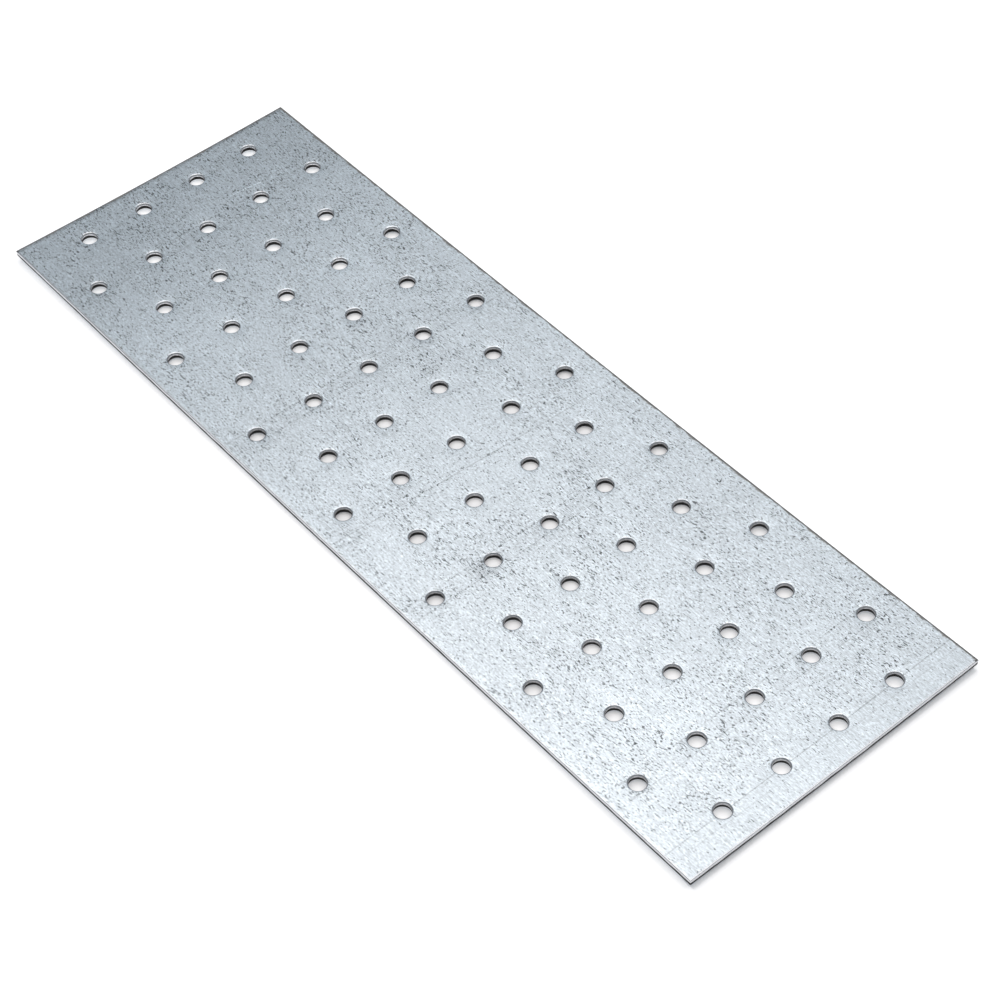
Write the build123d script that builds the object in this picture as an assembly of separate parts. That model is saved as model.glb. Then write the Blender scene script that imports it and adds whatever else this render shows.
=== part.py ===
from build123d import *
from math import floor
import os

# Perforated mending plate (nail plate) of flat galvanised sheet steel.
#
# Lengths are in millimetres. The plate lies flat on its underside: X runs along it, Y across it and Z up
# through its thickness. The origin is the centre of the underside.

# Sheet
length = 300.0
width = 100.0
thickness = 2.0

# Nail holes: rows stand across the plate, and every second row has one hole more than its neighbours,
# so that each hole faces a gap in the next row
hole_diameter = 5.0
row_pitch = 20.0  # from one row to the next, along the plate
hole_pitch = 20.0  # from one hole to the next in its row, across the plate
end_margin = 10.0  # least distance from a row's centre line to a short edge
side_margin = 10.0  # least distance from a hole's centre to a long edge

# Section of the sheared outline, from the top face down: a rounded rim that the blade draws in, a straight
# burnished land, and a fracture that slopes in to the underside
rim_radius = 0.3
burnished_share = 0.45  # part of the thickness that shears clean before the metal tears
fracture_run = 0.12  # how far the fracture slopes in


def sheared_blank():
    """The rectangle as it leaves the shear, before it is pierced."""
    fracture_height = thickness - rim_radius - burnished_share * thickness
    blank = extrude(Rectangle(length, width), thickness)
    underside = blank.faces().sort_by(Axis.Z)[0]
    blank = chamfer(underside.edges(), fracture_run, fracture_height, reference=underside)
    top_face = blank.faces().sort_by(Axis.Z)[-1]
    return fillet(top_face.edges(), rim_radius)


def hole_centres():
    """Centres of the nail holes. Both kinds of row are centred on the plate's centre line."""
    row_count = floor((length - 2 * end_margin) / row_pitch) + 1
    most_holes = floor((width - 2 * side_margin) / hole_pitch) + 1
    centres = []
    for row in range(row_count):
        x = (row - (row_count - 1) / 2) * row_pitch
        holes = most_holes if row % 2 else most_holes - 1
        centres += [(x, (hole - (holes - 1) / 2) * hole_pitch) for hole in range(holes)]
    return centres


punched_out = extrude(Circle(hole_diameter / 2), thickness)
mending_plate = sheared_blank() - [Pos(x, y) * punched_out for x, y in hole_centres()]
mending_plate.label = "mending_plate"

os.makedirs("parts", exist_ok=True)
export_step(mending_plate, "parts/mending_plate.step")
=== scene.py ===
import logging
import math
from dataclasses import dataclass
from enum import Enum

import bmesh
import bpy
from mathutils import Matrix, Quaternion, Vector, noise


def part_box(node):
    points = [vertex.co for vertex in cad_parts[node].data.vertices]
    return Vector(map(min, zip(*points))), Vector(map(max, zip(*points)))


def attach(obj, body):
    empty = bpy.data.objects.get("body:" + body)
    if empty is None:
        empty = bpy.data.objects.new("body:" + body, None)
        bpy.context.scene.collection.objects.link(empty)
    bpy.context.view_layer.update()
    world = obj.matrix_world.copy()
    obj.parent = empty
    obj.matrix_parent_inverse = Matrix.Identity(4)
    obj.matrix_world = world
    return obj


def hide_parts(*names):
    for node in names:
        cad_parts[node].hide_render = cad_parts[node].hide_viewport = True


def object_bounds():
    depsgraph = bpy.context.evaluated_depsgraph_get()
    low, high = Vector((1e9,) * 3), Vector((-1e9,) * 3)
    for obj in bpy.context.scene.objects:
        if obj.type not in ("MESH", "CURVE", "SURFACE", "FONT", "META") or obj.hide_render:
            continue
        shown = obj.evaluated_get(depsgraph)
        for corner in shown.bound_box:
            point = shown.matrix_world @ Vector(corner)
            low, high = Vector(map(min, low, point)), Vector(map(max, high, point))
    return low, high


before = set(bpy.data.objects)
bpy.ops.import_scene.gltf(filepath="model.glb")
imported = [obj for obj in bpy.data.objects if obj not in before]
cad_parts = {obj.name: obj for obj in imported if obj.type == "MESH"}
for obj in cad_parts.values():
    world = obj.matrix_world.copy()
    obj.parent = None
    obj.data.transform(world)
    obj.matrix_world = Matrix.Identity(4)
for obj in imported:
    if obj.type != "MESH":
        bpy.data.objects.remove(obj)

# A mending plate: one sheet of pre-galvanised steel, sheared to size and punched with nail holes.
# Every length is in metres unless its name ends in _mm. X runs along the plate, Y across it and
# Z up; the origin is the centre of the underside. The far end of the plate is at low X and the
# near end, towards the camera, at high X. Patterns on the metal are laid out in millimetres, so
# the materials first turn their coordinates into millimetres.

MM = 0.001
CAD_LOW, CAD_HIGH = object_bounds()

log = logging.getLogger("mending_plate")

Socket = bpy.types.NodeSocket
Sockets = bpy.types.bpy_prop_collection
Value = Socket | float | tuple[float, ...]
Colour = tuple[float, float, float]
Triple = tuple[float, float, float]
Span = tuple[float, float]
Edges = list[bmesh.types.BMEdge]

WHITE: Colour = (1.0, 1.0, 1.0)
ORIGIN: Triple = (0.0, 0.0, 0.0)


class Zone(Enum):
    """The surfaces that the mill and the press leave, in the order of the material slots."""

    ZINC = 0
    RIM = 1
    LAND = 2
    FRACTURE = 3
    SHEARED_LAND = 4


class Graph:
    """A node tree that is being filled, with short calls for the nodes used here."""

    def __init__(self, tree: bpy.types.NodeTree) -> None:
        """Starts on the tree of a material, a world or a node group."""
        self.tree = tree

    def add(
        self, kind: str, feeds: dict[int | str, Value] | None = None, **settings: object,
    ) -> bpy.types.Node:
        """Adds one node.

        Args:
            kind: The node's type name.
            feeds: What goes into its inputs, by number or name: a socket or a constant.
            settings: Properties of the node.

        Returns:
            The new node.
        """
        node = self.tree.nodes.new(kind)
        for name, value in settings.items():
            setattr(node, name, value)
        for key, value in (feeds or {}).items():
            self.feed(node.inputs[key], value)
        return node

    def feed(self, socket: Socket, value: Value) -> None:
        """Joins a socket to another, or sets its constant.

        Args:
            socket: The input.
            value: An output to join it to, or a number, vector or colour.
        """
        if isinstance(value, Socket):
            self.tree.links.new(value, socket)
        elif socket.type == "RGBA" and isinstance(value, tuple) and len(value) == 3:
            socket.default_value = (*value, 1.0)
        else:
            socket.default_value = value

    def math(self, operation: str, a: Value, b: Value = 0.0, c: Value = 0.0, clamp: bool = False) -> Socket:
        """Adds a Math node, with its result kept between 0 and 1 where clamp says so, and returns that."""
        return self.add("ShaderNodeMath", {0: a, 1: b, 2: c}, operation=operation, use_clamp=clamp).outputs[0]

    def total(self, *terms: Value) -> Value:
        """Adds numbers up and returns their sum."""
        result = terms[0]
        for term in terms[1:]:
            result = self.math("ADD", result, term)
        return result

    def times(self, *factors: Value) -> Value:
        """Multiplies numbers and returns their product."""
        result = factors[0]
        for factor in factors[1:]:
            result = self.math("MULTIPLY", result, factor)
        return result

    def vector(self, operation: str, a: Value, b: Value = ORIGIN) -> Socket:
        """Adds a Vector Math node on two vectors and returns its vector."""
        return self.add("ShaderNodeVectorMath", {0: a, 1: b}, operation=operation).outputs["Vector"]

    def measure(self, operation: str, a: Value, b: Value = ORIGIN) -> Socket:
        """Adds a Vector Math node on two vectors and returns its number."""
        return self.add("ShaderNodeVectorMath", {0: a, 1: b}, operation=operation).outputs["Value"]

    def scale(self, vector: Value, factor: Value) -> Socket:
        """Multiplies a vector or colour by a number and returns it."""
        return self.add("ShaderNodeVectorMath", {0: vector, "Scale": factor}, operation="SCALE").outputs[0]

    def split(self, vector: Value) -> tuple[Socket, Socket, Socket]:
        """Takes a vector apart and returns its three numbers."""
        return tuple(self.add("ShaderNodeSeparateXYZ", {0: vector}).outputs[:3])

    def turn(self, vector: Value, degrees: float) -> Socket:
        """Turns a vector about Z and returns it."""
        feeds = {"Vector": vector, "Angle": math.radians(degrees)}
        return self.add("ShaderNodeVectorRotate", feeds, rotation_type="Z_AXIS").outputs[0]

    def ramp(self, value: Value, low: Value, high: Value, start: Value = 0.0, end: Value = 1.0) -> Socket:
        """Adds a smooth step from low to high, which falls where low is above high, and returns it."""
        feeds = {"Value": value, "From Min": low, "From Max": high, "To Min": start, "To Max": end}
        return self.add("ShaderNodeMapRange", feeds, interpolation_type="SMOOTHSTEP").outputs[0]

    def noise(self, position: Value, detail: Value = 2.0, roughness: float = 0.5, field: int = 0) -> Socket:
        """Adds a Noise Texture of unit size, centred on 0.5; field 0 is its number and 1 its colour."""
        feeds = {"Vector": position, "Scale": 1.0, "Detail": detail, "Roughness": roughness}
        return self.add("ShaderNodeTexNoise", feeds, noise_dimensions="3D").outputs[field]

    def mix(self, share: Value, a: Value, b: Value) -> Socket:
        """Mixes two colours and returns the mixed one; share is how much of b it has."""
        return self.add("ShaderNodeMix", {0: share, 6: a, 7: b}, data_type="RGBA").outputs[2]

    def use(self, group: bpy.types.NodeTree, **feeds: Value) -> bpy.types.Node:
        """Places a node group.

        Args:
            group: The group.
            feeds: Its inputs, by name with _ for a space.

        Returns:
            The group's node.
        """
        node = self.add("ShaderNodeGroup", node_tree=group)
        for name, value in feeds.items():
            self.feed(node.inputs[name.replace("_", " ")], value)
        return node

    def surface(self, colour: Value, metallic: float, roughness: Value, height: Value, relief: Span) -> None:
        """Ends a material with a metal surface.

        Args:
            colour: Its colour.
            metallic: 1 for clean metal.
            roughness: Its roughness.
            height: The pattern that raises it.
            relief: Strength and height of the bump.
        """
        strength, distance = relief
        bump = self.add("ShaderNodeBump", {"Strength": strength, "Distance": distance, "Height": height})
        shader = self.add("ShaderNodeBsdfPrincipled", {
            "Base Color": colour, "Metallic": metallic, "Roughness": roughness, "Normal": bump.outputs[0],
        })
        self.add("ShaderNodeOutputMaterial", {0: shader.outputs[0]})


def empty_material(name: str) -> tuple[bpy.types.Material, Graph]:
    """Makes a material with no nodes.

    Args:
        name: Its name.

    Returns:
        The material and its graph.
    """
    made = bpy.data.materials.new(name)
    made.use_nodes = True
    made.node_tree.nodes.clear()
    return made, Graph(made.node_tree)


def place_object(name: str, data: bpy.types.ID) -> bpy.types.Object:
    """Makes an object of a mesh, lamp or camera and adds it to the scene."""
    made = bpy.data.objects.new(name, data)
    bpy.context.scene.collection.objects.link(made)
    return made


def mesh_object(name: str, mesh: bmesh.types.BMesh, materials: list[bpy.types.Material]) -> bpy.types.Object:
    """Makes an object of a finished mesh.

    Args:
        name: Its name.
        mesh: The mesh, which is freed.
        materials: Its material slots.

    Returns:
        The object.
    """
    data = bpy.data.meshes.new(name)
    mesh.to_mesh(data)
    mesh.free()
    for material in materials:
        data.materials.append(material)
    return place_object(name, data)


def pieces_of(pieces: list, kind: type) -> list:
    """Picks the vertices, edges or faces out of a result of bmesh."""
    return [piece for piece in pieces if isinstance(piece, kind)]


@dataclass(frozen=True)
class Layer:
    """One layer of a pattern on the metal.

    Its size is along, across and through the sheet, and its offset, in features, keeps it apart from other
    layers. Detail is for grain; edge, where the noise starts to show and shows in full, is for clouds.
    """

    size_mm: Triple
    weight: float = 1.0
    offset: Triple = ORIGIN
    detail: float = 0.0
    edge: Span = (0.4, 0.6)

    def feeds(self, position: Socket) -> dict[str, Value]:
        """What the layer feeds into every pattern's group."""
        return {"Position": position, "Size": self.size_mm, "Offset": self.offset}


@dataclass(frozen=True)
class Shade:
    """A stretch of the sheet where something changes, from where it starts to where it is full.

    With a middle, along_mm is measured from there both ways. Least is its share where across_mm starts.
    """

    change: float
    along_mm: Span
    across_mm: Span | None = None
    least: float = 0.0
    middle_mm: float | None = None

    def value(self, graph: Graph, along: Socket, across: Socket) -> Socket:
        """Works out the change at a point.

        Args:
            graph: The material's graph.
            along: Place along the plate in millimetres.
            across: Place across the plate in millimetres.

        Returns:
            The change.
        """
        run = along
        if self.middle_mm is not None:
            run = graph.math("ABSOLUTE", graph.math("SUBTRACT", along, self.middle_mm))
        share = graph.ramp(run, *self.along_mm)
        if self.across_mm is not None:
            share = graph.times(share, graph.ramp(across, *self.across_mm, self.least, 1.0))
        return graph.times(share, self.change)


@dataclass
class Patterns:
    """The effects that several finishes use, each one node group, with every size in millimetres.

    Noise above a threshold, which the density brings down, is a dash; a pale rim comes in and goes out
    beside it. Scratch and spot edges say where they start and where they are full, in half widths or radii.
    """

    grain_gain: float = 5.0
    dash_threshold: float = 0.803
    dash_spread: float = 0.3
    dash_edge: float = 0.05
    glint_start: Span = (-0.11, -0.04)
    glint_end: Span = (0.0, -0.03)
    glint: float = 0.30
    scratch_edge: Span = (1.4, 0.4)
    spot_edge: Span = (1.3, 0.2)

    def __post_init__(self) -> None:
        """Builds every group once."""
        self.millimetres = self._millimetres()
        self.grain = self._grain()
        self.cloud = self._cloud()
        self.dashes = self._dashes()
        self.stripe = self._stripe()
        self.scratch = self._scratch()
        self.spot = self._spot()

    def add_grain(self, graph: Graph, layer: Layer, position: Socket) -> Socket:
        """Places a layer of streaks and returns its tone."""
        return graph.use(self.grain, **layer.feeds(position), Detail=layer.detail).outputs[0]

    def add_cloud(self, graph: Graph, layer: Layer, position: Socket) -> Socket:
        """Places a layer of soft patches and returns its mask."""
        low, high = layer.edge
        return graph.use(self.cloud, **layer.feeds(position), Low=low, High=high).outputs[0]

    def add_dashes(self, graph: Graph, layer: Layer, position: Socket, density: Socket) -> Socket:
        """Places a layer of dashes and returns its mask."""
        return graph.use(self.dashes, **layer.feeds(position), Density=density).outputs[0]

    @staticmethod
    def _group(
        name: str, inputs: dict[str, float | Triple], outputs: tuple[str, ...] = ("Mask",),
        kind: str = "Float",
    ) -> tuple[Graph, Sockets, Sockets]:
        """Starts a node group.

        Args:
            name: Its name.
            inputs: Input names and their defaults; a tuple makes a vector.
            outputs: Output names.
            kind: Their kind, Float or Vector.

        Returns:
            The graph, the sockets that it is given and those for its results.
        """
        tree = bpy.data.node_groups.new(name, "ShaderNodeTree")
        for label, default in inputs.items():
            given = "NodeSocketVector" if isinstance(default, tuple) else "NodeSocketFloat"
            tree.interface.new_socket(label, in_out="INPUT", socket_type=given).default_value = default
        for label in outputs:
            tree.interface.new_socket(label, in_out="OUTPUT", socket_type="NodeSocket" + kind)
        graph = Graph(tree)
        return graph, graph.add("NodeGroupInput").outputs, graph.add("NodeGroupOutput").inputs

    @staticmethod
    def _cell(graph: Graph, given: Sockets) -> Socket:
        """Turns a group's Position, Size and Offset into the point where its noise is read."""
        cell = graph.vector("DIVIDE", given["Position"], given["Size"])
        return graph.vector("ADD", cell, given["Offset"])

    def _millimetres(self) -> bpy.types.NodeTree:
        """Object coordinates in millimetres, straight and with the slow drift of a rolled sheet's grain."""
        graph, given, result = self._group(
            "position_in_millimetres", {"Drift": 0.5, "Drift size": 12.0}, ("Position", "Drifted"), "Vector",
        )
        scaled = graph.scale(graph.add("ShaderNodeTexCoord").outputs["Object"], 1.0 / MM)
        slow = graph.vector("DIVIDE", scaled, given["Drift size"])
        swing = graph.vector("SUBTRACT", graph.noise(slow, 2.0, 0.5, 1), (0.5, 0.5, 0.5))
        graph.feed(result["Position"], scaled)
        graph.feed(result["Drifted"], graph.vector("ADD", scaled, graph.scale(swing, given["Drift"])))
        return graph.tree

    def _grain(self) -> bpy.types.NodeTree:
        """Fine streaks, from about -1 to 1."""
        graph, given, result = self._group(
            "streaked_grain", {"Position": ORIGIN, "Size": (1.0, 0.3, 0.3), "Detail": 2.0, "Offset": ORIGIN},
            ("Tone",),
        )
        streak = graph.noise(self._cell(graph, given), given["Detail"], 0.6)
        graph.feed(result["Tone"], graph.math("MULTIPLY_ADD", streak, self.grain_gain, -self.grain_gain / 2))
        return graph.tree

    def _cloud(self) -> bpy.types.NodeTree:
        """Soft patches, 0 outside and 1 inside."""
        graph, given, result = self._group(
            "soft_patches",
            {"Position": ORIGIN, "Size": (15.0, 15.0, 15.0), "Offset": ORIGIN, "Low": 0.4, "High": 0.6},
        )
        field = graph.noise(self._cell(graph, given), 3.0, 0.55)
        graph.feed(result["Mask"], graph.ramp(field, given["Low"], given["High"]))
        return graph.tree

    def _dashes(self) -> bpy.types.NodeTree:
        """Short dashes, as many as the density lets through: 1 in a dash and a little below 0 round it."""
        graph, given, result = self._group(
            "short_dashes", {"Position": ORIGIN, "Size": (1.0, 0.35, 0.35), "Offset": ORIGIN, "Density": 0.5},
        )
        field = graph.noise(self._cell(graph, given), 0.0)
        bar = graph.math("MULTIPLY_ADD", given["Density"], -self.dash_spread, self.dash_threshold)
        over = graph.math("SUBTRACT", field, bar)
        rim = graph.times(graph.ramp(over, *self.glint_start), graph.ramp(over, *self.glint_end), -self.glint)
        graph.feed(result["Mask"], graph.total(graph.ramp(over, 0.0, self.dash_edge), rim))
        return graph.tree

    def _stripe(self) -> bpy.types.NodeTree:
        """A stripe round one value of a coordinate, 1 at its middle."""
        graph, given, result = self._group(
            "stripe", {"Along": 0.0, "Centre": 0.0, "Half width": 0.2, "Softness": 0.2},
        )
        gap = graph.math("ABSOLUTE", graph.math("SUBTRACT", given["Along"], given["Centre"]))
        outside = graph.math("SUBTRACT", gap, given["Half width"])
        share = graph.math("DIVIDE", outside, given["Softness"])
        graph.feed(result["Mask"], graph.ramp(share, 1.0, 0.0))
        return graph.tree

    def _scratch(self) -> bpy.types.NodeTree:
        """A straight scratch between two points, 1 along its middle."""
        graph, given, result = self._group(
            "scratch", {"Position": ORIGIN, "From": ORIGIN, "To": (1.0, 0.0, 0.0), "Half width": 0.15},
        )
        flat = graph.vector("MULTIPLY", given["Position"], (1.0, 1.0, 0.0))
        run = graph.vector("SUBTRACT", given["To"], given["From"])
        rest = graph.vector("SUBTRACT", flat, given["From"])
        passed, whole = graph.measure("DOT_PRODUCT", rest, run), graph.measure("DOT_PRODUCT", run, run)
        nearest = graph.scale(run, graph.math("DIVIDE", passed, whole, clamp=True))
        gap = graph.measure("LENGTH", graph.vector("SUBTRACT", rest, nearest))
        share = graph.math("DIVIDE", gap, given["Half width"])
        graph.feed(result["Mask"], graph.ramp(share, *self.scratch_edge))
        return graph.tree

    def _spot(self) -> bpy.types.NodeTree:
        """A round spot, 1 at its middle."""
        graph, given, result = self._group(
            "spot", {"Position": ORIGIN, "Centre": ORIGIN, "Radius": 0.5},
        )
        flat = graph.vector("MULTIPLY", given["Position"], (1.0, 1.0, 0.0))
        gap = graph.measure("DISTANCE", flat, given["Centre"])
        share = graph.math("DIVIDE", gap, given["Radius"])
        graph.feed(result["Mask"], graph.ramp(share, *self.spot_edge))
        return graph.tree


@dataclass(frozen=True)
class CrossLine:
    """A line that the press left across the sheet.

    Its depth darkens the metal, broken is the share of it that is missing, and lean is how far it moves
    along the plate for each millimetre across.
    """

    place_mm: float
    depth: float
    wobble_mm: float = 0.2
    broken: float = 0.2
    lean: float = 0.0


@dataclass(frozen=True)
class PressMarks:
    """Marks of the press: bands across the sheet with a dark rail on each side, and single lines.

    A depth darkens the metal. Gaps are the levels of noise where a rail or line is faintest and strongest.
    """

    band_pitch_mm: float = 80.0
    band_place_mm: float = 40.3
    band_half_width_mm: float = 2.7
    band_edge_mm: float = 0.3
    band_wobble_mm: float = 0.25
    band_depth: float = 0.025
    rail_depth: Span = (0.08, 0.26)
    rail_gaps: Span = (0.30, 0.62)
    half_width_mm: float = 0.06
    softness_mm: float = 0.22
    sway_per_mm: float = 0.09
    gap_scale: Triple = (0.05, 0.45, 0.0)
    line_gaps: Span = (0.30, 0.40)
    line_breaks: Span = (0.25, 0.30)
    lines: tuple[CrossLine, ...] = (
        CrossLine(9.6, 0.27, wobble_mm=0.25, broken=0.15, lean=0.055),
        CrossLine(140.5, 0.30, wobble_mm=0.15, broken=0.1),
        CrossLine(143.5, 0.14, wobble_mm=0.3, broken=0.3),
    )

    def darkening(self, graph: Graph, patterns: Patterns, place: Socket) -> Socket:
        """Adds every band and line.

        Args:
            graph: The material's graph.
            patterns: The shared node groups.
            place: Position in millimetres.

        Returns:
            How much they darken the metal.
        """
        along, across, _ = graph.split(place)
        slow = graph.add("ShaderNodeCombineXYZ", {1: graph.times(across, self.sway_per_mm)}).outputs[0]
        sway = graph.math("SUBTRACT", graph.noise(slow, 3.0, 0.6), 0.5)
        gaps = graph.noise(graph.vector("MULTIPLY", place, self.gap_scale), 2.0, 0.7)
        half = self.band_pitch_mm / 2
        period = graph.math("WRAP", graph.math("SUBTRACT", along, self.band_place_mm), half, -half)
        away = graph.total(graph.math("ABSOLUTE", period), graph.times(sway, 2.0 * self.band_wobble_mm))
        rail = self._stripe(graph, patterns, away, self.band_half_width_mm)
        edge = self.band_half_width_mm + self.band_edge_mm
        inside = graph.ramp(away, edge, edge - 2 * self.band_edge_mm)
        rails = graph.times(rail, graph.ramp(gaps, *self.rail_gaps, *self.rail_depth))
        darkening = graph.total(rails, graph.times(inside, self.band_depth))
        for line in self.lines:
            swaying, leaning = graph.times(sway, 2.0 * line.wobble_mm), graph.times(across, -line.lean)
            stripe = self._stripe(graph, patterns, graph.total(along, swaying, leaning), line.place_mm)
            faint, full = (gap + line.broken * rise for gap, rise in zip(self.line_gaps, self.line_breaks))
            whole = graph.ramp(gaps, faint, full, 1.0 - line.broken, 1.0)
            darkening = graph.total(darkening, graph.times(stripe, whole, line.depth))
        return darkening

    def _stripe(self, graph: Graph, patterns: Patterns, run: Socket, centre_mm: float) -> Socket:
        """Places one rail or line, where run passes centre_mm, and returns its mask."""
        sizes = {"Half_width": self.half_width_mm, "Softness": self.softness_mm}
        return graph.use(patterns.stripe, Along=run, Centre=centre_mm, **sizes).outputs[0]


@dataclass(frozen=True)
class Scratch:
    """A straight scratch between two points, and how much it lightens the metal."""

    start_mm: Span
    end_mm: Span
    change: float


@dataclass(frozen=True)
class Mark:
    """A spot or stain, and how much it lightens or, below 0, darkens the metal."""

    x_mm: float
    y_mm: float
    radius_mm: float
    change: float


@dataclass(frozen=True)
class Knocks:
    """Scratches, spots and stains from handling."""

    scratches: tuple[Scratch, ...] = (
        Scratch((-125.5, 24.2), (-126.3, 18.6), 0.50),
        Scratch((-126.3, 18.6), (-126.8, 13.3), 0.42),
        Scratch((-84.6, 17.5), (-83.4, 14.0), 0.10),
        Scratch((-82.6, 15.8), (-81.8, 13.2), 0.08),
    )
    scratch_half_width_mm: float = 0.22
    marks: tuple[Mark, ...] = (
        Mark(-125.0, 28.0, 0.5, 0.35), Mark(-86.5, 32.0, 0.5, 0.35),
        Mark(-64.0, 18.0, 0.6, 0.3), Mark(-62.5, 19.0, 0.4, 0.3),
        Mark(41.0, -25.0, 4.6, -0.15), Mark(-16.0, -13.0, 1.1, -0.22), Mark(-16.0, -33.0, 1.0, -0.22),
        Mark(48.5, 20.0, 0.55, -0.35), Mark(49.9, 25.8, 0.5, -0.30),
        Mark(51.5, 27.0, 0.45, -0.30), Mark(53.2, 28.3, 0.4, -0.30),
        Mark(39.1, 22.5, 0.8, -0.45), Mark(39.1, 2.5, 0.8, -0.45),
        Mark(39.1, -17.5, 0.8, -0.45), Mark(39.1, -37.5, 0.8, -0.45),
    )
    mottle: float = 0.35

    def lightening(self, graph: Graph, patterns: Patterns, place: Socket, speck: Socket) -> Value:
        """Adds every scratch and mark.

        Args:
            graph: The material's graph.
            patterns: The shared node groups.
            place: Position in millimetres.
            speck: A fine pattern that makes the marks uneven.

        Returns:
            How much they lighten the metal.
        """
        change: Value = 0.0
        for scratch in self.scratches:
            ends = {"From": (*scratch.start_mm, 0.0), "To": (*scratch.end_mm, 0.0)}
            line = graph.use(patterns.scratch, Position=place, Half_width=self.scratch_half_width_mm, **ends)
            change = graph.total(change, graph.times(line.outputs[0], scratch.change))
        uneven = graph.math("MULTIPLY_ADD", speck, self.mottle, 1.0)
        for mark in self.marks:
            centre = (mark.x_mm, mark.y_mm, 0.0)
            spot = graph.use(patterns.spot, Position=place, Centre=centre, Radius=mark.radius_mm)
            change = graph.total(change, graph.times(spot.outputs[0], uneven, mark.change))
        return change


@dataclass(frozen=True)
class WornShadedEdge:
    """Ragged dark strips along the far long edge and the far short edge: zinc that the shear wore off,
    darkened further with painted shade where the rolled edge turns away from the light.

    Their width grows from start_mm by reach_mm with a noise; below 0, the edge has no strip.
    """

    half_length_mm: float = CAD_HIGH[0] / MM
    half_width_mm: float = CAD_HIGH[1] / MM
    scale: Triple = (0.22, 0.22, 0.0)
    reach_mm: float = 2.3
    start_mm: float = -0.55
    edge_mm: Span = (0.25, -0.05)

    def mask(self, graph: Graph, place: Socket) -> Socket:
        """Returns 1 in the dark strip, worn and painted shade, and 0 where the sheet is whole."""
        along, across, _ = graph.split(place)
        ragged = graph.noise(graph.vector("MULTIPLY", place, self.scale), 4.0, 0.65)
        reach = graph.math("MULTIPLY_ADD", ragged, self.reach_mm, self.start_mm)
        long_gap = graph.math("SUBTRACT", self.half_width_mm, across)
        short_gap = graph.math("ADD", self.half_length_mm, along)
        gap = graph.math("MINIMUM", long_gap, short_gap)
        return graph.ramp(graph.math("SUBTRACT", gap, reach), *self.edge_mm)


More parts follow.
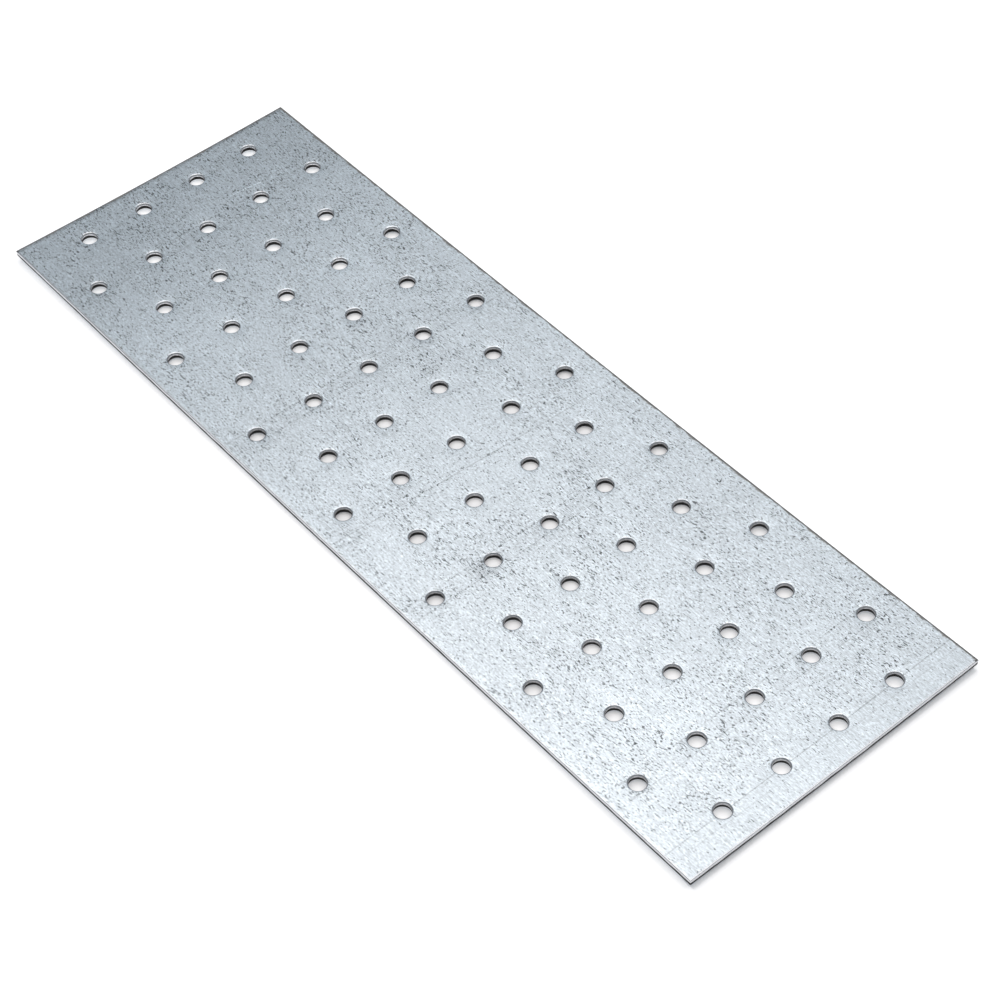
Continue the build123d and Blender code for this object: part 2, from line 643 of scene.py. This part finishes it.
@dataclass(frozen=True)
class ZincFinish:
    """Rolled, hot-dip galvanised sheet: streaky grain and dark dashes in clouds, under press marks.

    A layer's weight is a share of the tone, or for broad, clusters and chains a density of dashes. A scale
    is in cells per millimetre, a turn in degrees, and relief the bump's strength and height.
    """

    colour: Colour = (0.505, 0.550, 0.590)
    # Colour of the dark strips on the far edges: bare steel darkened further as painted shade.
    bare_and_shaded_colour: Colour = (0.230, 0.228, 0.222)
    roughness: float = 0.315
    dash_roughness: float = 0.1
    bare_and_shaded_roughness: float = 0.15
    relief: Span = (0.10, 0.05 * MM)
    drift_mm: float = 0.12
    drift_size_mm: float = 14.0
    grain_turn: float = -4.0
    fine: Layer = Layer((0.85, 0.25, 0.25), 0.165)
    streaks: Layer = Layer((6.0, 0.26, 0.26), 0.09, (7.0, 3.0, 0.0))
    blotches: Layer = Layer((3.0, 2.2, 2.2), 0.02, (2.0, 9.0, 0.0), detail=2.0)
    pits: Layer = Layer((1.0, 0.6, 0.6), -0.75, (3.0, 8.0, 0.0))
    pit_share: float = 0.45
    dashes: Layer = Layer((1.0, 0.29, 0.29), -0.61)
    dash_shades: tuple[Shade, ...] = (Shade(-0.26, (-20.0, -95.0)), Shade(-0.10, (40.0, 90.0)))
    broad: Layer = Layer((30.0, 22.0, 22.0), 0.10, edge=(0.3, 0.7))
    clusters: Layer = Layer((9.0, 6.0, 6.0), 0.24, (5.0, 1.0, 0.0), edge=(0.35, 0.68))
    chains: Layer = Layer((9.0, 1.7, 1.7), 0.26, (1.0, 4.0, 0.0), edge=(0.55, 0.72))
    chain_turn: float = -38.0
    density: float = 0.34
    clean_end: Shade = Shade(-0.29, (137.0, 142.0))
    broad_tone: float = -0.05
    # Broad stretches painted lighter and darker: painted sheen and painted shade that shape the soft light's
    # reflection along the sheet; the strongest, at the far short edge, is painted shade where the rolled edge
    # dips away.
    sheen_and_shade: tuple[Shade, ...] = (
        Shade(0.085, (42.0, 4.0), middle_mm=-78.0),
        Shade(0.06, (55.0, 115.0), (30.0, -30.0)),
        Shade(-0.06, (-112.0, -142.0), (10.0, 45.0)),
        Shade(-0.34, (-147.9, -149.1)),
        Shade(0.025, (60.0, 5.0), middle_mm=-2.0),
        Shade(-0.075, (118.0, 146.0), (20.0, -45.0), least=0.2),
    )
    # A painted highlight: a frayed pale band just inside the near long edge, where the rolled edge catches
    # the light.
    rollover_highlight: Shade = Shade(0.14, (-60.0, 20.0), (-48.2, -49.2))
    highlight_scale: Triple = (1.1, 1.4, 0.0)
    highlight_gaps: Span = (0.42, 0.55)
    tone: float = 1.05
    darkest: float = 0.12
    press: PressMarks = PressMarks()
    knocks: Knocks = Knocks()
    worn_and_shaded: WornShadedEdge = WornShadedEdge()

    def material(self, patterns: Patterns) -> bpy.types.Material:
        """Makes the material.

        Args:
            patterns: The shared node groups.

        Returns:
            The material.
        """
        made, graph = empty_material("galvanised_sheet")
        position = graph.use(patterns.millimetres, Drift=self.drift_mm, Drift_size=self.drift_size_mm)
        place, drifted = position.outputs["Position"], position.outputs["Drifted"]
        along, across, _ = graph.split(place)
        laid = graph.turn(drifted, self.grain_turn)

        fine = patterns.add_grain(graph, self.fine, laid)
        streaks = patterns.add_grain(graph, self.streaks, drifted)
        blotches = patterns.add_grain(graph, self.blotches, drifted)
        broad = patterns.add_cloud(graph, self.broad, place)
        cluster = patterns.add_cloud(graph, self.clusters, place)
        chain = patterns.add_cloud(graph, self.chains, graph.turn(drifted, self.chain_turn))
        density = graph.total(
            graph.times(cluster, self.clusters.weight),
            graph.times(broad, self.broad.weight),
            graph.times(chain, self.chains.weight),
            graph.total(self.density, self.clean_end.value(graph, along, across)),
        )
        dashes = patterns.add_dashes(graph, self.dashes, laid, density)
        pits = patterns.add_dashes(graph, self.pits, drifted, graph.times(density, self.pit_share))
        dash_weight = graph.total(
            self.dashes.weight, *[shade.value(graph, along, across) for shade in self.dash_shades],
        )
        # The painted highlight along the near long edge, broken up by a noise.
        frayed = graph.noise(graph.vector("MULTIPLY", place, self.highlight_scale), 2.0, 0.6)
        whole = graph.ramp(frayed, *self.highlight_gaps)
        rollover_highlight = graph.times(self.rollover_highlight.value(graph, along, across), whole)

        tone = graph.total(
            self.tone,
            graph.times(fine, self.fine.weight),
            graph.times(streaks, self.streaks.weight),
            graph.times(blotches, self.blotches.weight),
            graph.times(graph.math("SUBTRACT", broad, 0.5), self.broad_tone),
            graph.times(dashes, dash_weight),
            graph.times(pits, self.pits.weight),
            graph.times(self.press.darkening(graph, patterns, place), -1.0),
            self.knocks.lightening(graph, patterns, place, fine),
            rollover_highlight,
            # the painted sheen and painted shade
            *[shade.value(graph, along, across) for shade in self.sheen_and_shade],
        )
        # Dark strips on the far edges: worn zinc and painted shade.
        bare_and_shaded = self.worn_and_shaded.mask(graph, place)
        sheet = graph.scale(self.colour, graph.math("MAXIMUM", tone, self.darkest))
        steel_and_shade = graph.scale(self.bare_and_shaded_colour, graph.math("MULTIPLY_ADD", fine, 0.25, 1.0))
        roughness = graph.total(
            self.roughness, graph.times(dashes, self.dash_roughness), graph.times(bare_and_shaded, self.bare_and_shaded_roughness),
        )
        height = graph.total(graph.times(fine, 0.5), graph.times(dashes, -1.0))
        graph.surface(graph.mix(bare_and_shaded, sheet, steel_and_shade), 1.0, roughness, height, self.relief)
        return made


@dataclass(frozen=True)
class RimFinish:
    """Zinc that the punch or the shear drew over the edge, with paler patches that are painted highlights; on
    the two far edges it is worn to bare steel and darkened with painted shade.
    """

    colour: Colour = (0.480, 0.497, 0.520)
    # Paler patches on the rim: painted highlights.
    highlight_colour: Colour = (0.560, 0.590, 0.620)
    bare_and_shaded_colour: Colour = (0.150, 0.148, 0.145)
    roughness: float = 0.26
    worn_shaded_roughness: float = 0.3
    worn_shaded_width_mm: float = CAD_HIGH[1] / MM - 1.0
    worn_shaded_length_mm: float = CAD_HIGH[0] / MM - 1.0
    grain: Layer = Layer((0.5, 0.5, 0.5), 0.10, detail=2.0)
    highlight_patches: Layer = Layer((2.2, 2.2, 2.2), 0.6, (3.0, 6.0, 0.0), edge=(0.52, 0.66))
    relief: Span = (0.15, 0.03 * MM)

    def material(self, patterns: Patterns) -> bpy.types.Material:
        """Makes the material.

        Args:
            patterns: The shared node groups.

        Returns:
            The material.
        """
        made, graph = empty_material("drawn_zinc_rim")
        place = graph.use(patterns.millimetres).outputs["Position"]
        along, across, _ = graph.split(place)
        grain = patterns.add_grain(graph, self.grain, place)
        # The far edges' rim is dark: worn to bare steel and painted shade.
        worn_shaded_side = graph.math("GREATER_THAN", across, self.worn_shaded_width_mm)
        worn_shaded_end = graph.math("LESS_THAN", along, -self.worn_shaded_length_mm)
        worn_and_shaded = graph.math("MAXIMUM", worn_shaded_side, worn_shaded_end)
        # Paler patches of painted highlight on the rim.
        highlight_patch = graph.times(patterns.add_cloud(graph, self.highlight_patches, place), self.highlight_patches.weight)
        zinc_with_highlights = graph.mix(highlight_patch, self.colour, self.highlight_colour)
        tone = graph.math("MULTIPLY_ADD", grain, self.grain.weight, 1.0)
        colour = graph.scale(graph.mix(worn_and_shaded, zinc_with_highlights, self.bare_and_shaded_colour), tone)
        roughness = graph.total(self.roughness, graph.times(worn_and_shaded, self.worn_shaded_roughness))
        graph.surface(colour, 1.0, roughness, grain, self.relief)
        return made


@dataclass(frozen=True)
class CutFinish:
    """A cut through the sheet: dark scores run down a pale surface, which is paler where its gains, a painted
    reflection, say so.
    """

    name: str
    pale: Colour
    dark: Colour
    roughness: float
    metallic: float
    scores: Layer = Layer((0.25, 0.25, 3.0), 0.55, detail=2.0)
    reflection_gains: tuple[Shade, ...] = ()
    relief: Span = (0.3, 0.05 * MM)

    def material(self, patterns: Patterns) -> bpy.types.Material:
        """Makes the material.

        Args:
            patterns: The shared node groups.

        Returns:
            The material.
        """
        made, graph = empty_material(self.name)
        place = graph.use(patterns.millimetres).outputs["Position"]
        along, across, _ = graph.split(place)
        score = patterns.add_grain(graph, self.scores, place)
        share = graph.math("MULTIPLY_ADD", score, self.scores.weight, 0.5, clamp=True)
        # The gains paint a reflection: the surface paler along parts of the plate.
        reflection_gain = graph.total(1.0, *[shade.value(graph, along, across) for shade in self.reflection_gains])
        colour = graph.scale(graph.mix(share, self.dark, self.pale), reflection_gain)
        graph.surface(colour, self.metallic, self.roughness, score, self.relief)
        return made


@dataclass(frozen=True)
class Ring:
    """One ring of a cut's section, with the surface between the ring before it and this one.

    Its reach is from the punch's axis, or in from the sheared outline.
    """

    reach: float
    height: float
    zone: Zone


@dataclass
class PerforatedPlate:
    """The sheet itself, with its sheared outline and its punched holes.

    A hole's rollover is the section of its rolled rim: distance from the axis and depth below the top. The
    bow is the rise along the sheet, with its twist and across it, per square metre; crease is in degrees.
    """

    thickness: float = 2.0 * MM
    row_pitch: float = 20.0 * MM
    hole_pitch: float = 20.0 * MM
    hole_rollover_mm: tuple[Span, ...] = (
        (2.98, 0.0), (2.86, 0.006), (2.74, 0.020), (2.65, 0.044), (2.57, 0.092),
        (2.49, 0.170), (2.42, 0.265), (2.36, 0.375), (2.32, 0.500),
    )
    rim_start: int = 4
    hole_land: float = 0.36 * MM
    hole_flare: float = 0.13 * MM
    edge_ring: float = 0.30 * MM
    flat_ring: float = 6.0 * MM
    round_steps: int = 64
    outline_width: float = 0.45 * MM
    outline_depth: float = 0.22 * MM
    outline_steps: int = 4
    outline_inset: float = 0.60 * MM
    land_share: float = 0.36
    fracture_run: float = 0.12 * MM
    tear_depth: float = 0.22 * MM
    tear_size: float = 3.5 * MM
    tear_detail: Span = (0.5, 4.0)
    bow: Triple = (0.0499, 0.0250, 0.2081)
    crease: float = 35.0
    weld: float = 0.01 * MM

    def __post_init__(self) -> None:
        """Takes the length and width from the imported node."""
        low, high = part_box("mending_plate")
        self.length, self.width = high[0] - low[0], high[1] - low[1]

    def row_places(self) -> list[float]:
        """Places of the rows along the plate."""
        rows = round(self.length / self.row_pitch)
        return [(row - (rows - 1) / 2) * self.row_pitch for row in range(rows)]

    def hole_centres(self) -> list[tuple[float, float]]:
        """Centres of the holes: full rows and rows with one hole less take turns, each centred across."""
        most = round(self.width / self.hole_pitch)
        centres = []
        for row, x in enumerate(self.row_places()):
            count = most if row % 2 else most - 1
            centres += [(x, (place - (count - 1) / 2) * self.hole_pitch) for place in range(count)]
        return centres

    def blank_centres(self) -> list[tuple[float, float]]:
        """Centres of the plain half cells at both ends of each row with one hole less."""
        side = self.width / 2 - self.hole_pitch / 4
        return [(x, y) for x in self.row_places()[::2] for y in (-side, side)]

    def hole_section(self) -> list[Ring]:
        """Rings from the flat round the hole, over the rolled rim and the land, down to the underside."""
        rings = []
        for step, (reach_mm, depth_mm) in enumerate(self.hole_rollover_mm):
            zone = Zone.RIM if step >= self.rim_start else Zone.ZINC
            rings.append(Ring(reach_mm * MM, self.thickness - depth_mm * MM, zone))
        neck, land_end = rings[-1].reach, self.hole_land_end()
        flare = neck + self.hole_flare
        return rings + [
            Ring(neck, land_end, Zone.LAND),
            Ring((neck + flare) / 2, land_end / 2, Zone.FRACTURE),
            Ring(flare, 0.0, Zone.FRACTURE),
            Ring(flare + self.edge_ring, 0.0, Zone.ZINC),
            Ring(self.flat_ring, 0.0, Zone.ZINC),
        ]

    def hole_land_end(self) -> float:
        """Height at which the land of a hole ends and the fracture starts."""
        neck_depth_mm = self.hole_rollover_mm[-1][1]
        return self.thickness - neck_depth_mm * MM - self.hole_land

    def outline_section(self) -> list[Ring]:
        """Rings from the flat inside the outline, over the rolled rim and the land, down to the underside."""
        top, width, depth = self.thickness, self.outline_width, self.outline_depth
        rings = [Ring(width, top, Zone.ZINC)]
        for step in range(1, self.outline_steps + 1):
            turn = math.pi / 2 * step / self.outline_steps
            rings.append(Ring(width * (1 - math.sin(turn)), top - depth * (1 - math.cos(turn)), Zone.RIM))
        land_end = self.outline_land_end()
        return rings + [
            Ring(0.0, land_end, Zone.SHEARED_LAND),
            Ring(self.fracture_run / 2, land_end / 2, Zone.FRACTURE),
            Ring(self.fracture_run, 0.0, Zone.FRACTURE),
            Ring(self.fracture_run + self.edge_ring, 0.0, Zone.ZINC),
            Ring(self.outline_inset, 0.0, Zone.ZINC),
        ]

    def outline_land_end(self) -> float:
        """Height at which the land of the outline ends and the fracture starts."""
        return self.thickness - self.outline_depth - self.thickness * self.land_share

    def _square_loop(self, mesh: bmesh.types.BMesh, height: float) -> Edges:
        """Adds the square border of a cell.

        Args:
            mesh: The mesh.
            height: Its height.

        Returns:
            Its edges, as many as a hole's ring has.
        """
        corner = self.hole_pitch / 2 * math.sqrt(2)
        verts = bmesh.ops.create_circle(mesh, segments=4, radius=corner)["verts"]
        eighth_turn = Quaternion((0, 0, 1), math.pi / 4).to_matrix()
        bmesh.ops.rotate(mesh, verts=verts, cent=(0, 0, 0), matrix=eighth_turn)
        bmesh.ops.translate(mesh, verts=verts, vec=(0, 0, height))
        sides = list({edge for vert in verts for edge in vert.link_edges})
        cut = bmesh.ops.subdivide_edges(mesh, edges=sides, cuts=self.round_steps // 4 - 1)
        pieces = cut["geom_inner"] + cut["geom_split"]
        return list(set(pieces_of(pieces, bmesh.types.BMEdge)))

    def _follow(
        self, mesh: bmesh.types.BMesh, edges: Edges, ring: Ring, spread: Vector,
    ) -> Edges:
        """Extrudes a loop to the next ring of a section.

        Args:
            mesh: The mesh.
            edges: The loop's edges.
            ring: The next ring.
            spread: Factors that bring the loop out or in.

        Returns:
            The new loop's edges.
        """
        made = bmesh.ops.extrude_edge_only(mesh, edges=edges)["geom"]
        verts = pieces_of(made, bmesh.types.BMVert)
        bmesh.ops.scale(mesh, verts=verts, vec=spread)
        bmesh.ops.translate(mesh, verts=verts, vec=(0, 0, ring.height - verts[0].co.z))
        for face in pieces_of(made, bmesh.types.BMFace):
            face.material_index = ring.zone.value
        return [edge for edge in pieces_of(made, bmesh.types.BMEdge) if len(edge.link_faces) == 1]

    def _add_holes(self, mesh: bmesh.types.BMesh) -> None:
        """Builds one punched cell and repeats it at every hole centre.

        Args:
            mesh: The mesh.
        """
        verts = bmesh.ops.create_circle(mesh, segments=self.round_steps, radius=self.flat_ring)["verts"]
        bmesh.ops.translate(mesh, verts=verts, vec=(0, 0, self.thickness))
        loop = list({edge for vert in verts for edge in vert.link_edges})
        bmesh.ops.bridge_loops(mesh, edges=loop + self._square_loop(mesh, self.thickness))
        reach = self.flat_ring
        for ring in self.hole_section():
            share = ring.reach / reach
            loop, reach = self._follow(mesh, loop, ring, Vector((share, share, 1))), ring.reach
        bmesh.ops.bridge_loops(mesh, edges=loop + self._square_loop(mesh, 0.0))
        cell = mesh.verts[:] + mesh.edges[:] + mesh.faces[:]
        first, *others = self.hole_centres()
        for x, y in others:
            copy = bmesh.ops.duplicate(mesh, geom=cell)["geom"]
            verts = pieces_of(copy, bmesh.types.BMVert)
            bmesh.ops.translate(mesh, verts=verts, vec=(x, y, 0))
        verts = pieces_of(cell, bmesh.types.BMVert)
        bmesh.ops.translate(mesh, verts=verts, vec=(*first, 0))

    def _add_blanks(self, mesh: bmesh.types.BMesh) -> None:
        """Adds the plain half cells, top and underside.

        Args:
            mesh: The mesh.
        """
        steps = self.round_steps // 4
        for x, y in self.blank_centres():
            for z in (0.0, self.thickness):
                grid = bmesh.ops.create_grid(mesh, x_segments=steps, y_segments=steps // 2, size=0.5)
                verts = grid["verts"]
                bmesh.ops.scale(mesh, verts=verts, vec=(self.row_pitch, self.hole_pitch / 2, 1))
                bmesh.ops.translate(mesh, verts=verts, vec=(x, y, z))

    def _add_outline(self, mesh: bmesh.types.BMesh) -> None:
        """Draws the border in and carries it over the rim, down the cut and onto the underside.

        Args:
            mesh: The mesh.
        """
        def spread(reach: float, before: float) -> Vector:
            """Factors that move the border from one inset to another."""
            return Vector(((self.length / 2 - reach) / (self.length / 2 - before),
                           (self.width / 2 - reach) / (self.width / 2 - before), 1))

        border = [edge for edge in mesh.edges if edge.is_boundary]
        inset = self.outline_inset
        verts = list({vert for edge in border for vert in edge.verts})
        bmesh.ops.scale(mesh, verts=verts, vec=spread(inset, 0.0))
        loop = [edge for edge in border if edge.verts[0].co.z > self.thickness / 2]
        for ring in self.outline_section():
            loop, inset = self._follow(mesh, loop, ring, spread(ring.reach, inset)), ring.reach
        bmesh.ops.remove_doubles(mesh, verts=mesh.verts, dist=2 * self.weld)

    def _tear(self, mesh: bmesh.types.BMesh) -> None:
        """Lets the lower end of every land wander up and down, as a cut breaks.

        Args:
            mesh: The mesh.
        """
        ends = [self.hole_land_end(), self.outline_land_end()]
        strength, fineness = self.tear_detail
        for vert in mesh.verts:
            if any(abs(vert.co.z - end) < self.weld / 10 for end in ends):
                spot = vert.co / self.tear_size
                wave = noise.noise(spot) + strength * noise.noise(spot * fineness)
                vert.co.z += wave * self.tear_depth

    def _bow(self, mesh: bmesh.types.BMesh) -> None:
        """Bends the sheet a little, hollow side up, as it comes off the press.

        Args:
            mesh: The mesh.
        """
        along, twist, across = self.bow
        for vert in mesh.verts:
            x, y = vert.co.x, vert.co.y
            vert.co.z += along * x * x + twist * x * y + across * y * y

    def build(self, materials: list[bpy.types.Material]) -> bpy.types.Object:
        """Makes the plate's object.

        Args:
            materials: One for each zone, in the zones' order.

        Returns:
            The object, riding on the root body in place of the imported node.
        """
        mesh = bmesh.new()
        self._add_holes(mesh)
        self._add_blanks(mesh)
        bmesh.ops.remove_doubles(mesh, verts=mesh.verts, dist=self.weld)
        self._add_outline(mesh)
        self._tear(mesh)
        self._bow(mesh)
        bmesh.ops.recalc_face_normals(mesh, faces=mesh.faces)
        for face in mesh.faces:
            face.smooth = True
        for edge in mesh.edges:
            edge.smooth = len(edge.link_faces) == 2 and edge.calc_face_angle() < math.radians(self.crease)
        plate = mesh_object("perforated_plate", mesh, materials)
        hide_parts("mending_plate")
        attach(plate, "root")
        return plate


@dataclass
class Studio:
    """A white table under one large soft light, and the camera.

    A lift is light that the table shows of itself, to the eye and in the metal: outside the plate, a little
    under its middle, and more towards its far and near ends, which is painted light under the plate seen
    through the holes. A low lift in the gap that shows under its raised near end paints a shadow there.
    """

    floor_side: float = 12.0
    floor_drop: float = 0.02 * MM
    floor_colour: Colour = (0.945, 0.955, 0.975)
    floor_lift: float = 0.26
    cover: Span = (0.149, 0.049)
    cover_lift: float = 0.01
    far_lift: float = 0.40
    near_lift: float = 0.27
    lift_power: float = 1.5
    lift_turn: float = 0.02
    # The gap's low lift is a painted shadow under and just outside the raised near end.
    gap_shadow_lift: float = 0.05
    gap_shadow_start: Span = (0.1457, 0.1475)
    gap_shadow_end: Span = (0.1511, 0.1499)
    gap_shadow_half_width: float = 0.0495
    sky_colour: Colour = (0.883, 1.0, 1.09)
    sky_back: float = 0.385
    sky_front: float = 0.18
    sky_facing: Triple = (0.8, -0.6, 0.0)
    sky_turn: Span = (-0.25, 0.35)
    sweep: Span = (0.34, 0.14)
    box_centre: Triple = (0.0, 0.0, 1.2)
    box_size: Span = (1.98, 1.50)
    box_level: float = 1.63
    box_colour: Colour = (1.057, 1.0, 0.957)
    camera_place: Triple = (0.38674, -0.27779, 0.51289)
    camera_aim: Triple = (0.024755, -0.004843, 0.002)
    camera_roll: float = -3.865
    camera_lens: float = 89.841

    def build_floor(self) -> bpy.types.Object:
        """Makes the table top."""
        mesh = bmesh.new()
        bmesh.ops.create_grid(mesh, x_segments=1, y_segments=1, size=self.floor_side / 2)
        bmesh.ops.translate(mesh, verts=mesh.verts, vec=(0, 0, -self.floor_drop))
        floor = mesh_object("table_top", mesh, [self._floor_material()])
        return floor

    def _floor_light(self, graph: Graph) -> Socket:
        """Works out the light that the table shows of itself.

        Args:
            graph: The floor material's graph.

        Returns:
            Its level at each point.
        """
        along, across, _ = graph.split(graph.add("ShaderNodeTexCoord").outputs["Object"])
        reach, aside = graph.math("ABSOLUTE", along), graph.math("ABSOLUTE", across)
        half_length, half_width = self.cover
        within = graph.math("LESS_THAN", reach, half_length), graph.math("LESS_THAN", aside, half_width)
        # Painted light under the plate's far and near ends, seen through the holes.
        end_lift = graph.ramp(along, -self.lift_turn, self.lift_turn, self.far_lift, self.near_lift)
        rise = graph.math("POWER", graph.math("DIVIDE", reach, half_length), self.lift_power)
        covered_level = graph.total(self.cover_lift, graph.times(rise, end_lift))
        level = graph.ramp(graph.times(*within), 0.0, 1.0, self.floor_lift, covered_level)
        # A strip at the raised near end with a low lift: a painted shadow in the gap.
        beneath = graph.math("LESS_THAN", aside, self.gap_shadow_half_width)
        gap = graph.times(graph.ramp(along, *self.gap_shadow_start), graph.ramp(along, *self.gap_shadow_end), beneath)
        return graph.ramp(gap, 0.0, 1.0, level, self.gap_shadow_lift)

    def _floor_material(self) -> bpy.types.Material:
        """White paper, white to the eye and in the metal, that keeps shadows and is clear from below."""
        made, graph = empty_material("white_table")
        paper = graph.add("ShaderNodeBsdfDiffuse", {"Color": self.floor_colour})
        path = graph.add("ShaderNodeLightPath").outputs
        seen = graph.math("MAXIMUM", path["Is Glossy Ray"], path["Is Transmission Ray"])
        seen = graph.math("MAXIMUM", path["Is Camera Ray"], seen)
        strength = graph.times(seen, self._floor_light(graph))
        lift = graph.add("ShaderNodeEmission", {"Color": WHITE, "Strength": strength})
        lit = graph.add("ShaderNodeAddShader", {0: paper.outputs[0], 1: lift.outputs[0]})
        clear = graph.add("ShaderNodeBsdfTransparent")
        back = graph.add("ShaderNodeNewGeometry").outputs["Backfacing"]
        shown = graph.add("ShaderNodeMixShader", {0: back, 1: lit.outputs[0], 2: clear.outputs[0]})
        graph.add("ShaderNodeOutputMaterial", {0: shown.outputs[0]})
        return made

    def build_world(self) -> None:
        """Lights the room evenly, with a white sweep at the horizon, and shows white to the eye."""
        world = bpy.data.worlds.new("studio")
        bpy.context.scene.world = world
        world.use_nodes = True
        world.node_tree.nodes.clear()
        graph = Graph(world.node_tree)
        toward = graph.add("ShaderNodeTexCoord").outputs["Generated"]
        height = graph.split(toward)[2]
        facing = graph.measure("DOT_PRODUCT", toward, self.sky_facing)
        level = graph.ramp(facing, *self.sky_turn, self.sky_back, self.sky_front)
        tinted = graph.scale(self.sky_colour, level)
        seen = graph.add("ShaderNodeLightPath").outputs["Is Camera Ray"]
        white = graph.math("MAXIMUM", graph.ramp(height, *self.sweep), seen)
        sky = graph.add("ShaderNodeBackground", {"Color": graph.mix(white, tinted, WHITE), "Strength": 1.0})
        graph.add("ShaderNodeOutputWorld", {0: sky.outputs[0]})

    def build_lamps(self) -> None:
        """Hangs the soft box over the table."""
        lamp = bpy.data.lights.new("soft_box", "AREA")
        lamp.shape = "RECTANGLE"
        lamp.size, lamp.size_y = self.box_size
        lamp.energy = self.box_level * math.pi * self.box_size[0] * self.box_size[1]
        lamp.color = self.box_colour
        place_object("soft_box", lamp).location = self.box_centre

    def build_camera(self) -> None:
        """Places the camera."""
        camera = bpy.data.cameras.new("camera")
        camera.sensor_width = 36.0
        camera.lens = self.camera_lens
        camera.clip_start, camera.clip_end = 0.01, 100.0
        holder = place_object("camera", camera)
        place, aim = Vector(self.camera_place), Vector(self.camera_aim)
        roll = Quaternion((0, 0, 1), math.radians(self.camera_roll))
        holder.location = place
        holder.rotation_mode = "QUATERNION"
        holder.rotation_quaternion = (aim - place).to_track_quat("-Z", "Y") @ roll
        bpy.context.scene.camera = holder


def main() -> None:
    """Builds the plate and the studio round it."""
    logging.basicConfig(level=logging.INFO, format="%(name)s: %(message)s")
    patterns = Patterns()
    finishes = {
        Zone.ZINC: ZincFinish(),
        Zone.RIM: RimFinish(),
        Zone.LAND: CutFinish(
            "burnished_land", pale=(0.48, 0.485, 0.50), dark=(0.24, 0.24, 0.25), roughness=0.25, metallic=1.0,
            # A painted reflection: the holes' land paler towards the far and near ends.
            reflection_gains=(Shade(1.0, (-45.0, -85.0)), Shade(0.3, (60.0, 110.0))),
        ),
        # The torn steel's near-black colour is partly the dull fracture's own and partly painted shade of the
        # cut, which turns down and away.
        Zone.FRACTURE: CutFinish(
            "torn_steel_and_shade", pale=(0.022, 0.021, 0.021), dark=(0.007, 0.006, 0.006), roughness=0.75,
            metallic=0.3, scores=Layer((0.12, 0.12, 0.3), 0.55, detail=2.0),
        ),
        # The sheared land is the same burnished steel as the holes' land, painted paler: a painted highlight.
        Zone.SHEARED_LAND: CutFinish(
            "sheared_land_painted_light", pale=(0.74, 0.75, 0.77), dark=(0.48, 0.48, 0.50), roughness=0.25, metallic=1.0,
        ),
    }
    plate = PerforatedPlate().build([finishes[zone].material(patterns) for zone in Zone])
    log.info("%s: %d faces", plate.name, len(plate.data.polygons))
    studio = Studio()
    log.info("%s: stage", studio.build_floor().name)
    studio.build_world()
    studio.build_lamps()
    studio.build_camera()
    bpy.context.scene.view_settings.view_transform = "Standard"


if __name__ == "__main__":
    main()
